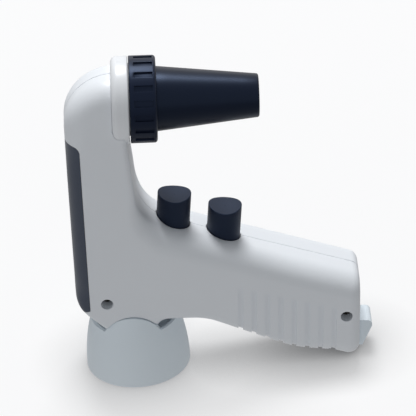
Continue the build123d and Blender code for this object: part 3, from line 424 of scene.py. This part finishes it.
def dress(piece: bpy.types.Object, finish: Finish) -> None:
    """Gives a piece one finish all over."""
    piece.data.materials.clear()
    piece.data.materials.append(finish.material())


def copy_node(node: str, name: str) -> bpy.types.Object:
    """Copies a frame node as a merged mesh of its own.

    Args:
        node: Name of the frame node.
        name: Name of the new piece.

    Returns:
        The new piece.
    """
    piece = bpy.data.objects.new(name, frame["nodes"][node].data.copy())
    bpy.context.scene.collection.objects.link(piece)
    make_active(piece)
    if piece.data.has_custom_normals:
        bpy.ops.mesh.customdata_custom_splitnormals_clear()
    enter_edit(piece)
    bpy.ops.mesh.select_all(action="SELECT")
    bpy.ops.mesh.remove_doubles(threshold=NODE_MERGE)
    leave_edit()
    return piece


def turn(name: str, stations: Sequence[Station], sides: int) -> bpy.types.Object:
    """Turns a closed profile about the local Z axis by extruding a circle round it.

    Args:
        name: Name of the piece.
        stations: Height and radius of each station, in millimetres.
        sides: Faces round the piece.

    Returns:
        The turned piece, with doubled points merged and every face turned outwards.
    """
    clear_selection()
    height, radius = stations[0]
    bpy.ops.mesh.primitive_circle_add(
        vertices=sides, radius=radius * MM, location=(0, 0, height * MM))
    piece = bpy.context.active_object
    piece.name = name
    bpy.ops.object.transform_apply(location=True, rotation=True, scale=True)
    enter_edit(piece)
    bpy.ops.mesh.select_all(action="SELECT")
    for level, size in (*stations[1:], stations[0]):
        bpy.ops.mesh.extrude_region_move(
            TRANSFORM_OT_translate={"value": (0, 0, (level - height) * MM)})
        scale = size / radius
        bpy.ops.transform.resize(
            value=(scale, scale, 1.0), center_override=(0, 0, level * MM))
        height, radius = level, size
    bpy.ops.mesh.select_all(action="SELECT")
    bpy.ops.mesh.remove_doubles(threshold=MERGE)
    bpy.ops.mesh.normals_make_consistent(inside=False)
    leave_edit()
    return piece


def quarter_round(end: float, size: float, steps: int, inward: float) -> list[Station]:
    """Lays points round the edge of a turned piece.

    Args:
        end: Place of the piece's end face along the axis.
        size: Radius of the rounding.
        steps: Faces round the edge.
        inward: Direction from the end face into the piece, 1.0 or -1.0.

    Returns:
        For each point, its place along the axis and how far it lies inside the full radius,
        from the side of the piece to its end face.
    """
    points = []
    for step in range(steps + 1):
        angle = math.radians(90 * step / steps)
        along = end + inward * size * (1 - math.sin(angle))
        points.append((along, size * (1 - math.cos(angle))))
    return points


def frame_joint(name: str) -> dict:
    """Returns the record of one joint."""
    return next(joint for joint in frame["joints"] if joint["name"] == name)


@dataclass(frozen=True)
class Posture:
    """Places of the controller's parts, read from the frame's joints.

    Attributes:
        nut_middle: Distance of the nut's joint in front of the controller's origin,
            in millimetres.
        trigger_lean: Forward lean of the triggers, in degrees.
    """

    nut_middle: float = 6.025
    trigger_lean: float = 3.8

    def controller(self) -> Matrix:
        """Places the controller's own axes: X along the nose, Z up.

        Returns:
            Matrix from the controller's axes to the frame's.
        """
        joint = frame_joint("nut_turn")
        nose = Vector(joint["axis"]).normalized()
        side = Vector((0.0, 1.0, 0.0))
        rise = nose.cross(side)
        origin = Vector(joint["pos_m"]) - nose * self.nut_middle * MM
        axes = Matrix((nose, side, rise)).transposed().to_4x4()
        return Matrix.Translation(origin) @ axes

    def nose(self) -> Matrix:
        """Returns the matrix that lays a turned piece's Z axis along the nose."""
        return self.controller() @ Matrix.Rotation(math.radians(90), 4, "Y")

    def trigger(self, along: float, height: float) -> Matrix:
        """Returns the matrix of a trigger: its top at the origin, Z out of the housing."""
        spot = Matrix.Translation(Vector((along, 0.0, height)) * MM)
        return self.controller() @ spot @ Matrix.Rotation(math.radians(self.trigger_lean), 4, "Y")


@dataclass
class MountingRing:
    """White ring between the head and the union nut. All sizes are in millimetres.

    Attributes:
        radius: Outer radius.
        length: Length behind the ring's front face.
        rear_round: Rounding of the rear edge.
        rear_steps: Faces round the rear edge.
        web: Thickness of the wall across the ring.
        port: Radius of the air port through the wall and the shank.
        shank_radius: Radius of the shank in the head.
        shank_length: Length of the shank.
        spigot_radius: Radius of the spigot that the nut goes over.
        spigot_length: Length of the spigot.
        spigot_wall: Wall of the spigot.
        front_step: Bevel of the front edge.
        sides: Faces round the ring.
        edges: Rounding and shading of its edges.
    """

    radius: float = 18.4
    length: float = 7.2
    rear_round: float = 2.6
    rear_steps: int = 8
    web: float = 2.2
    port: float = 3.0
    shank_radius: float = 9.0
    shank_length: float = 5.0
    spigot_radius: float = 15.2
    spigot_length: float = 7.4
    spigot_wall: float = 1.5
    front_step: float = 0.5
    sides: int = 128
    edges: EdgeStyle = EdgeStyle(0.15, 2, 40.0, 28.0)

    def build(self, posture: Posture) -> bpy.types.Object:
        """Turns the ring, lays it on the nose axis and hides the frame's ring.

        Args:
            posture: Places of the controller's parts.

        Returns:
            The finished ring.
        """
        rear = -self.length
        pocket = self.spigot_radius - self.spigot_wall
        rounding = quarter_round(rear, self.rear_round, self.rear_steps, 1.0)
        stations = [
            (rear - self.shank_length, self.port),
            (rear - self.shank_length, self.shank_radius),
            (rear, self.shank_radius),
            *((along, self.radius - drop) for along, drop in reversed(rounding)),
            (-self.front_step, self.radius),
            (0.0, self.radius - self.front_step),
            (0.0, self.spigot_radius),
            (self.spigot_length, self.spigot_radius),
            (self.spigot_length, pocket),
            (rear + self.web, pocket),
            (rear + self.web, self.port),
        ]
        piece = turn("white_mounting_ring", stations, self.sides)
        self.edges.apply(piece)
        lay(piece, posture.nose())
        dress(piece, WHITE_RING)
        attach(piece, "controller")
        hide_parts("mounting_ring")
        return piece


@dataclass
class UnionNut:
    """Dark ribbed nut that clamps the nose cone. All sizes are in millimetres.

    Attributes:
        start: Place of the rear face in front of the ring's front face.
        length: Length of the nut.
        radius: Radius over the ribs.
        bore: Radius of the bore over the spigot.
        hole: Radius of the hole for the cone.
        front_wall: Thickness of the front wall.
        front_round: Rounding of the front edge.
        front_steps: Faces round the front edge.
        rear_bevel: Bevel of the rear edge.
        ribs: Number of ribs.
        sides_per_rib: Faces round the nut for one rib and one recess.
        recess_sides: Faces of these that the recess takes.
        recess_turn: Turn of the first recess about the nose, in degrees.
        recess_depth: Depth of the recesses.
        band_rear: Plain band behind the recesses.
        band_front: Plain band in front of the recesses.
        skin: Depth under the ribs within which a face counts as outer.
        edges: Rounding and shading of its edges.
    """

    start: float = 0.35
    length: float = 11.35
    radius: float = 18.4
    bore: float = 15.5
    hole: float = 14.0
    front_wall: float = 2.5
    front_round: float = 1.4
    front_steps: int = 6
    rear_bevel: float = 0.25
    ribs: int = 18
    sides_per_rib: int = 10
    recess_sides: int = 4
    recess_turn: float = 6.0
    recess_depth: float = 0.8
    band_rear: float = 2.1
    band_front: float = 1.45
    skin: float = 0.5
    edges: EdgeStyle = EdgeStyle(0.16, 2, 34.0, 30.0)

    def build(self, posture: Posture) -> bpy.types.Object:
        """Turns the nut, sinks the recesses between its ribs and lays it on the nose axis.

        Args:
            posture: Places of the controller's parts.

        Returns:
            The finished nut.
        """
        end = self.start + self.length
        rounding = quarter_round(end, self.front_round, self.front_steps, -1.0)
        stations = [
            (self.start, self.bore),
            (self.start, self.radius - self.rear_bevel),
            (self.start + self.rear_bevel, self.radius),
            (self.start + self.band_rear, self.radius),
            (end - self.band_front, self.radius),
            *((along, self.radius - drop) for along, drop in rounding[1:]),
            (end, self.hole),
            (end - self.front_wall, self.hole),
            (end - self.front_wall, self.bore),
        ]
        piece = turn("ribbed_union_nut", stations, self.ribs * self.sides_per_rib)
        self._sink_recesses(piece)
        self.edges.apply(piece)
        lay(piece, posture.nose())
        dress(piece, DARK_NUT)
        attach(piece, "nut")
        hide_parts("union_nut")
        return piece

    def _sink_recesses(self, piece: bpy.types.Object) -> None:
        """Pushes the faces between the ribs inwards.

        Args:
            piece: The turned nut, on its own axis.
        """
        pitch = math.tau / self.ribs
        half = pitch * self.recess_sides / self.sides_per_rib / 2
        low = (self.start + self.band_rear) * MM
        high = (self.start + self.length - self.band_front) * MM

        def in_recess(face: bmesh.types.BMFace) -> bool:
            """Tests whether a face of the outer band lies between two ribs.

            Args:
                face: Face of the nut.

            Returns:
                Whether it belongs to a recess.
            """
            middle = face.calc_center_median()
            if not low < middle.z < high or middle.xy.length < (self.radius - self.skin) * MM:
                return False
            turned = math.atan2(middle.y, middle.x) - math.radians(self.recess_turn)
            turned %= pitch
            return min(turned, pitch - turned) < half

        enter_edit(piece, "FACE")
        pick_faces(piece, in_recess)
        bpy.ops.mesh.extrude_region_shrink_fatten(
            TRANSFORM_OT_shrink_fatten={
                "value": -self.recess_depth * MM,
                "use_even_offset": True,
            }
        )
        leave_edit()


@dataclass
class NoseCone:
    """Dark hollow cone round the silicone holder. All sizes are in millimetres.

    Attributes:
        flange_start: Place of the flange's rear face in front of the ring's front face.
        flange_radius: Radius of the flange that the nut clamps.
        flange_length: Thickness of the flange.
        base: Place where the taper begins.
        base_radius: Radius there.
        tip: Place of the tip's end face.
        tip_radius: Radius that the taper reaches there.
        wall: Wall of the cone.
        end_wall: Thickness of the tip's end.
        mouth: Radius of the opening for the pipette.
        tip_round: Rounding of the tip's edge.
        tip_steps: Faces round the tip's edge.
        flank_steps: Faces along the taper.
        sides: Faces round the cone.
        edges: Rounding and shading of its edges.
    """

    flange_start: float = 8.3
    flange_radius: float = 15.05
    flange_length: float = 0.85
    base: float = 11.7
    base_radius: float = 13.7
    tip: float = 54.6
    tip_radius: float = 9.12
    wall: float = 2.0
    end_wall: float = 2.6
    mouth: float = 5.6
    tip_round: float = 0.8
    tip_steps: int = 5
    flank_steps: int = 8
    sides: int = 160
    edges: EdgeStyle = EdgeStyle(0.3, 3, 50.0, 34.0)

    def build(self, posture: Posture) -> bpy.types.Object:
        """Turns the cone and lays it on the nose axis.

        Args:
            posture: Places of the controller's parts.

        Returns:
            The finished cone.
        """
        flange_end = self.flange_start + self.flange_length
        inner_end = self.tip - self.end_wall
        stations = [
            (self.flange_start, self.base_radius - self.wall),
            (self.flange_start, self.flange_radius),
            (flange_end, self.flange_radius),
            (flange_end, self.base_radius),
            (self.base, self.base_radius),
            *self._flank(),
            *self._tip_arc(),
            (self.tip, self.mouth),
            (inner_end, self.mouth),
            (inner_end, self._radius(inner_end) - self.wall),
            (self.base, self.base_radius - self.wall),
        ]
        piece = turn("dark_nose_cone", stations, self.sides)
        self.edges.apply(piece)
        lay(piece, posture.nose())
        dress(piece, DARK_CONE)
        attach(piece, "nose")
        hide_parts("nose_cone")
        return piece

    def _radius(self, along: float) -> float:
        """Returns the outer radius at a distance along the nose."""
        share = (along - self.base) / (self.tip - self.base)
        return self.base_radius + (self.tip_radius - self.base_radius) * share

    def _flank(self) -> list[Station]:
        """Lays stations along the taper.

        Returns:
            The stations between the base and the tip's rounding.
        """
        span = self.tip - self.tip_round - self.base
        steps = self.flank_steps
        places = [self.base + span * step / steps for step in range(1, steps)]
        return [(along, self._radius(along)) for along in places]

    def _tip_arc(self) -> list[Station]:
        """Lays stations round the tip's edge.

        Returns:
            The stations from the flank to the end face.
        """
        rounding = quarter_round(self.tip, self.tip_round, self.tip_steps, -1.0)
        return [(along, self._radius(along) - drop) for along, drop in rounding]


@dataclass
class TriggerButton:
    """Round trigger with a dished top, its flange and its plunger boss.

    All sizes are in millimetres.

    Attributes:
        node: Frame node that the button stands for.
        body: Frame body that it moves with.
        along: Place along the nose.
        height: Height of the dish's centre.
        radius: Radius of the button.
        rise: How far the top's front and rear stand over its middle.
        length: Length of the button below its top.
        skin: Thickness of the top.
        wall: Wall of the button.
        flange: How far the flange stands out.
        flange_height: Height of the flange.
        boss_radius: Radius of the boss that holds the plunger.
        boss_length: Length of the boss.
        socket_radius: Radius of the plunger's socket.
        socket_end: Depth of the socket's end under the top.
        centre_share: Share of the radius at which the top's rings end.
        loops: Places along the button's side of two plain loops, under its top.
        top_rings: Rings across the top.
        top_margin: Depth within which a point belongs to the top.
        rim_round: Rounding of the top's rim.
        rim_faces: Faces round the rim.
        sides: Faces round the button.
        crease: Angle, in degrees, over which the shading breaks.
    """

    node: str
    body: str
    along: float
    height: float
    radius: float = 7.2
    rise: float = 1.2
    length: float = 20.0
    skin: float = 2.4
    wall: float = 1.5
    flange: float = 1.3
    flange_height: float = 1.6
    boss_radius: float = 3.2
    boss_length: float = 8.0
    socket_radius: float = 2.05
    socket_end: float = 4.0
    centre_share: float = 0.02
    loops: tuple[float, float] = (10.0, 2.2)
    top_rings: int = 12
    top_margin: float = 0.05
    rim_round: float = 0.45
    rim_faces: int = 4
    sides: int = 96
    crease: float = 40.0

    def build(self, posture: Posture) -> bpy.types.Object:
        """Turns the button, dishes its top and lays it in its guide.

        Args:
            posture: Places of the controller's parts.

        Returns:
            The finished button.
        """
        piece = turn(f"{self.node}_button", self._stations(), self.sides)
        self._dish(piece)
        self._round_rim(piece)
        smooth(piece, self.crease)
        lay(piece, posture.trigger(self.along, self.height))
        dress(piece, TRIGGER_PLASTIC)
        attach(piece, self.body)
        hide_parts(self.node)
        return piece

    def _stations(self) -> list[Station]:
        """Lays the button's closed profile, from its socket round its side to its top.

        Returns:
            Height and radius of each station.
        """
        hollow = self.radius - self.wall
        rings = [self.radius * (1 - ring / self.top_rings) for ring in range(1, self.top_rings)]
        socket = self.skin + self.boss_length
        flange_top = -self.length + self.flange_height
        centre = self.radius * self.centre_share
        return [
            (-socket, self.socket_radius),
            (-socket, self.boss_radius),
            (-self.skin, self.boss_radius),
            (-self.skin, hollow),
            (-self.length, hollow),
            (-self.length, self.radius + self.flange),
            (flange_top, self.radius + self.flange),
            (flange_top, self.radius),
            *((-depth, self.radius) for depth in self.loops),
            (0.0, self.radius),
            *((0.0, size) for size in rings),
            (0.0, centre),
            (-self.socket_end, centre),
            (-self.socket_end, self.socket_radius),
        ]

    def _dish(self, piece: bpy.types.Object) -> None:
        """Bends the flat top into a groove across the controller.

        Args:
            piece: The turned button, on its own axis.
        """
        top = -self.top_margin * MM
        for point in piece.data.vertices:
            if point.co.z > top:
                point.co.z += self.rise * MM * (point.co.x / (self.radius * MM)) ** 2

    def _round_rim(self, piece: bpy.types.Object) -> None:
        """Rounds the rim of the top.

        Args:
            piece: The dished button, on its own axis.
        """
        enter_edit(piece, "EDGE")
        mesh = bmesh.from_edit_mesh(piece.data)
        for edge in mesh.edges:
            edge.select_set(all(
                abs(point.co.xy.length - self.radius * MM) < ON_PLACE and point.co.z > -ON_PLACE
                for point in edge.verts
            ))
        bmesh.update_edit_mesh(piece.data)
        bpy.ops.mesh.bevel(
            offset=self.rim_round * MM, segments=self.rim_faces, affect="EDGES")
        leave_edit()


@dataclass
class HousingShells:
    """White two-part housing, with a fine groove where its halves meet.

    Attributes:
        groove_width: Width that the groove takes of each half, in millimetres.
        groove_depth: Depth of the groove, in millimetres.
        flat: Sideways part of a normal, over which a face belongs to the parting plane.
        lean: Length of the summed normals, under which a point has no clear outside.
        crease: Angle, in degrees, over which the shading breaks.
    """

    groove_width: float = 0.25
    groove_depth: float = 0.30
    flat: float = 0.9
    lean: float = 0.1
    crease: float = 24.0

    def build(self) -> list[bpy.types.Object]:
        """Grooves, softens and dresses both halves.

        Returns:
            The left and the right half.
        """
        halves = []
        for side in ("left", "right"):
            node = f"housing_{side}"
            piece = copy_node(node, f"shell_{side}")
            self._sink_parting_edge(piece, -1.0 if side == "left" else 1.0)
            smooth(piece, self.crease)
            dress(piece, WHITE_SHELL)
            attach(piece, "controller")
            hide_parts(node)
            halves.append(piece)
        return halves

    def _sink_parting_edge(self, piece: bpy.types.Object, side: float) -> None:
        """Sinks a half's parting edge, so that both halves form a fine groove.

        Args:
            piece: One half.
            side: Sign of the side that the half lies on.
        """
        enter_edit(piece)
        bpy.ops.mesh.select_all(action="SELECT")
        bpy.ops.mesh.bisect(
            plane_co=(0.0, side * self.groove_width * MM, 0.0), plane_no=(0.0, 1.0, 0.0))
        mesh = bmesh.from_edit_mesh(piece.data)
        mesh.normal_update()
        for point in mesh.verts:
            if abs(point.co.y) > ON_PLANE:
                continue
            around = (face.normal for face in point.link_faces if abs(face.normal.y) < self.flat)
            outward = sum(around, Vector())
            outward.y = 0.0
            if outward.length > self.lean:
                point.co -= outward.normalized() * self.groove_depth * MM
        bmesh.update_edit_mesh(piece.data)
        leave_edit()


@dataclass
class Fittings:
    """Frame nodes whose shape is kept and that get a finish.

    Attributes:
        unseen: Finish of the cradle's pad, and of the nodes that new pieces replace.
    """

    unseen: Finish = DARK_NUT

    def build(self) -> None:
        """Dresses every frame node by its name, or by the last word of its name."""
        for name, node in frame["nodes"].items():
            finish = FITTING_FINISHES.get(name) or FITTING_FINISHES.get(name.split("_")[-1])
            dress(node, finish or self.unseen)
            log.info("dressed %s", name)


@dataclass(frozen=True)
class Lamp:
    """A round area lamp that points at the controller.

    Attributes:
        name: Name of the lamp.
        spot: Its place, in metres.
        size: Its diameter, in metres.
        power: Its power, in watts.
        mirrored: Whether it shows in reflections.
    """

    name: str
    spot: Place
    size: float
    power: float
    mirrored: bool

    def hang(self, aim: Place) -> None:
        """Adds the lamp to the scene.

        Args:
            aim: Point that the lamp looks at, in metres.
        """
        data = bpy.data.lights.new(self.name, "AREA")
        data.shape = "DISK"
        data.size = self.size
        data.energy = self.power
        lamp = bpy.data.objects.new(self.name, data)
        lamp.location = self.spot
        lamp.visible_glossy = self.mirrored
        beam = Vector(aim) - Vector(self.spot)
        lamp.rotation_euler = beam.to_track_quat("-Z", "Y").to_euler()
        bpy.context.scene.collection.objects.link(lamp)


@dataclass
class Studio:
    """Floor, light and camera.

    Attributes:
        target: Point that the camera looks at, in millimetres.
        distance: Distance of the camera from it, in millimetres.
        elevation: Height of the camera's view, in degrees.
        roll: Turn of the camera about its view, in degrees.
        lens: Focal length of the camera, in millimetres.
        sensor: Width of the camera's sensor, in millimetres.
        reach: Farthest distance that the camera sees, in metres.
        bench_size: Width of the bench, in metres.
        bench_seen: Colour of the bench for the camera.
        bench_roughness: Roughness of the bench.
        bench_shine: Specular level of the bench.
        bounce: Colour of the bench for the light that it throws back.
        mirrored: Colour of the bench in reflections.
        glow: Share of the bench's colour that the camera sees as glow, shaded only by the painted
            contact shadow.
        painted_shadow_reach: Reach of the painted contact shadow where things stand, in
            millimetres.
        room: Strength of the surrounding light.
        room_colour: Colour of the surrounding light.
        aim: Point that the lamps look at, in metres.
        lamps: A soft lamp over the bench, and weaker ones in front and to the left.
    """

    target: Place = (35.084, 0.0, 74.877)
    distance: float = 1495.7
    elevation: float = 32.6
    roll: float = 4.2
    lens: float = 302.885
    sensor: float = 36.0
    reach: float = 20.0
    bench_size: float = 6.0
    bench_seen: Colour = (0.94, 0.94, 0.945)
    bench_roughness: float = 0.9
    bench_shine: float = 0.1
    bounce: Colour = (0.40, 0.40, 0.40)
    mirrored: Colour = (0.55, 0.55, 0.55)
    glow: float = 0.72
    # reach of the painted contact shadow under the controller
    painted_shadow_reach: float = 28.0
    room: float = 0.22
    room_colour: Colour = (0.92, 0.96, 1.0)
    aim: Place = (0.03, 0.0, 0.06)
    lamps: tuple[Lamp, ...] = (
        Lamp("overhead_soft", (0.0, 0.85, 2.1), 0.9, 44.0, True),
        Lamp("front_soft", (0.1, -1.6, 0.25), 1.0, 3.9, False),
        Lamp("left_soft", (-1.3, -0.4, 0.3), 0.8, 2.2, False),
    )

    def build(self) -> None:
        """Sets up the whole stage."""
        self._floor()
        self._world()
        for lamp in self.lamps:
            lamp.hang(self.aim)
        self._camera()
        bpy.context.scene.view_settings.view_transform = "Standard"

    def _camera(self) -> None:
        """Places the camera at the photograph's view."""
        tilt = math.radians(self.elevation)
        roll = math.radians(self.roll)
        back = Vector((0.0, -math.cos(tilt), math.sin(tilt)))
        right = Vector((1.0, 0.0, 0.0))
        rise = back.cross(right)
        across = right * math.cos(roll) - rise * math.sin(roll)
        upward = right * math.sin(roll) + rise * math.cos(roll)
        data = bpy.data.cameras.new("camera")
        data.lens = self.lens
        data.sensor_width = self.sensor
        data.clip_end = self.reach
        camera = bpy.data.objects.new("camera", data)
        spot = Vector(self.target) * MM + back * self.distance * MM
        axes = Matrix((across, upward, back)).transposed().to_4x4()
        camera.matrix_world = Matrix.Translation(spot) @ axes
        bpy.context.scene.collection.objects.link(camera)
        bpy.context.scene.camera = camera

    def _floor(self) -> None:
        """Lays a plain white bench that reflects little light back up."""
        clear_selection()
        bpy.ops.mesh.primitive_plane_add(size=self.bench_size, location=(0.0, 0.0, 0.0))
        floor = bpy.context.active_object
        floor.name = "bench"
        floor.data.materials.append(self._bench_material())

    def _bench_material(self) -> bpy.types.Material:
        """Builds the bench's material: dull for the light, and for the camera pale and mostly
        glowing, with a painted contact shadow from an ambient occlusion node.

        Returns:
            The new material.
        """
        made = bpy.data.materials.new("bench_white")
        made.use_nodes = True
        tree = made.node_tree
        shader = tree.nodes["Principled BSDF"]
        shader.inputs["Roughness"].default_value = self.bench_roughness
        shader.inputs["Specular IOR Level"].default_value = self.bench_shine
        path = tree.nodes.new("ShaderNodeLightPath")
        seen = path.outputs["Is Camera Ray"]
        in_mirror = colour_mix(tree, path.outputs["Is Glossy Ray"])
        in_mirror.inputs["A"].default_value = (*self.bounce, 1.0)
        in_mirror.inputs["B"].default_value = (*self.mirrored, 1.0)
        in_view = colour_mix(tree, seen)
        tree.links.new(in_mirror.outputs["Result"], in_view.inputs["A"])
        in_view.inputs["B"].default_value = (*self.bench_seen, 1.0)
        shade = in_view.outputs["Result"]
        tree.links.new(shade, shader.inputs["Base Color"])
        # Ambient occlusion darkens the camera's glow near the controller: a painted contact
        # shadow, not one cast by the lamps.
        painted_contact_shadow = tree.nodes.new("ShaderNodeAmbientOcclusion")
        painted_contact_shadow.inputs["Distance"].default_value = self.painted_shadow_reach * MM
        tree.links.new(shade, painted_contact_shadow.inputs["Color"])
        shade_with_painted_shadow = colour_mix(tree, seen)
        tree.links.new(shade, shade_with_painted_shadow.inputs["A"])
        tree.links.new(painted_contact_shadow.outputs["Color"], shade_with_painted_shadow.inputs["B"])
        glow = tree.nodes.new("ShaderNodeEmission")
        tree.links.new(shade_with_painted_shadow.outputs["Result"], glow.inputs["Color"])
        share = tree.nodes.new("ShaderNodeMath")
        share.operation = "MULTIPLY_ADD"
        tree.links.new(seen, share.inputs[0])
        share.inputs[1].default_value = self.glow - 1.0
        share.inputs[2].default_value = 1.0
        lifted = tree.nodes.new("ShaderNodeMixShader")
        tree.links.new(share.outputs["Value"], lifted.inputs["Fac"])
        tree.links.new(shader.outputs["BSDF"], lifted.inputs[1])
        tree.links.new(glow.outputs["Emission"], lifted.inputs[2])
        surface = tree.nodes["Material Output"].inputs["Surface"]
        tree.links.new(lifted.outputs["Shader"], surface)
        return made

    def _world(self) -> None:
        """Gives a plain pale surrounding that the camera and reflections see as white."""
        world = bpy.data.worlds.new("soft_room")
        bpy.context.scene.world = world
        world.use_nodes = True
        tree = world.node_tree
        seen = tree.nodes["Background"]
        seen.inputs["Color"].default_value = (1.0, 1.0, 1.0, 1.0)
        seen.inputs["Strength"].default_value = 1.0
        room = tree.nodes.new("ShaderNodeBackground")
        room.inputs["Color"].default_value = (*self.room_colour, 1.0)
        room.inputs["Strength"].default_value = self.room
        path = tree.nodes.new("ShaderNodeLightPath")
        blend = tree.nodes.new("ShaderNodeMixShader")
        shown = path.outputs["Is Camera Ray"]
        for kind in ("Is Glossy Ray", "Is Transmission Ray"):
            either = tree.nodes.new("ShaderNodeMath")
            either.operation = "MAXIMUM"
            tree.links.new(shown, either.inputs[0])
            tree.links.new(path.outputs[kind], either.inputs[1])
            shown = either.outputs["Value"]
        tree.links.new(shown, blend.inputs["Fac"])
        tree.links.new(room.outputs["Background"], blend.inputs[1])
        tree.links.new(seen.outputs["Background"], blend.inputs[2])
        tree.links.new(blend.outputs["Shader"], tree.nodes["World Output"].inputs["Surface"])


def main() -> None:
    """Builds the controller's visible parts in order."""
    logging.basicConfig(level=logging.INFO, format="%(name)s: %(message)s")
    posture = Posture()
    Fittings().build()
    for piece in HousingShells().build():
        log.info("built %s", piece.name)
    parts = (
        MountingRing(),
        UnionNut(),
        NoseCone(),
        TriggerButton("aspirate_trigger", "aspirate_button", 18.2, -47.6),
        TriggerButton("dispense_trigger", "dispense_button", 39.7, -54.3),
    )
    for part in parts:
        piece = part.build(posture)
        log.info("built %s with %d faces", piece.name, len(piece.data.polygons))
    Studio().build()


if __name__ == "__main__":
    main()
